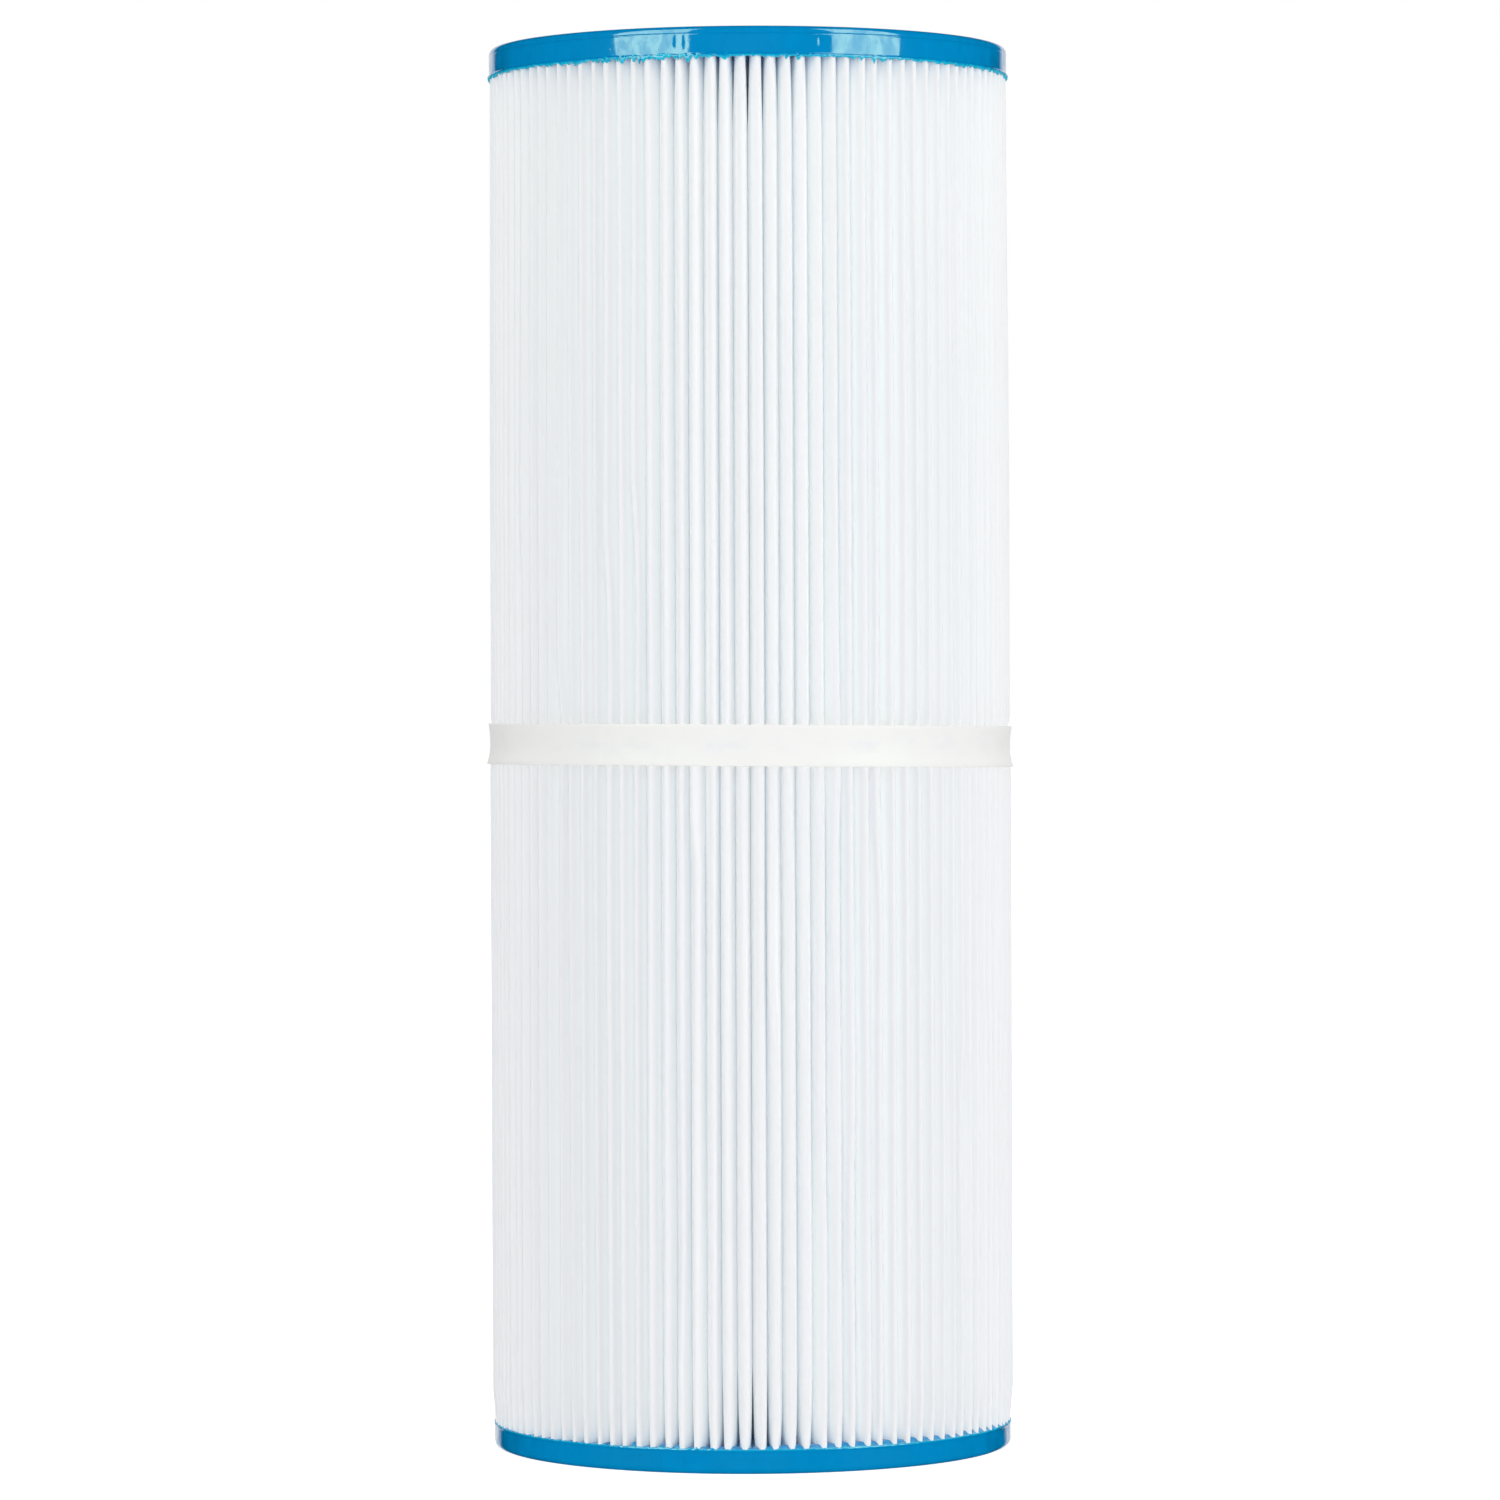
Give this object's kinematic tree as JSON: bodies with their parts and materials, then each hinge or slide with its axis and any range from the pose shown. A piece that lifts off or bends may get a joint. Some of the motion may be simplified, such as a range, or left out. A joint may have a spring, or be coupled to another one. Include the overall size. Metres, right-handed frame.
{
  "type": "pleated filter cartridge",
  "caption": "Cylindrical pleated filter cartridge with a windowed core, a middle band and two open cast end caps that water passes through.",
  "frame": {"origin": "centre of the bottom end face, on the cartridge's axis", "axes": "+Z along the axis, from the bottom cap to the top cap; the sheet's seam faces +Y"},
  "size_m": [0.1268, 0.1268, 0.3381],
  "materials": {
    "end_caps": "glossy cast urethane",
    "core": "matt moulded plastic",
    "media": "spunbond polyester",
    "band": "satin translucent plastic",
    "adhesive": "hot-melt adhesive"
  },
  "bodies": {
    "root": {"top_end_cap": "end_caps", "bottom_end_cap": "end_caps", "core_section_1": "core", "core_section_2": "core", "core_section_3": "core", "core_section_4": "core", "pleated_media": "media", "seam_adhesive": "adhesive", "reinforcing_band": "band", "band_adhesive": "adhesive"}
  },
  "joints": []
}
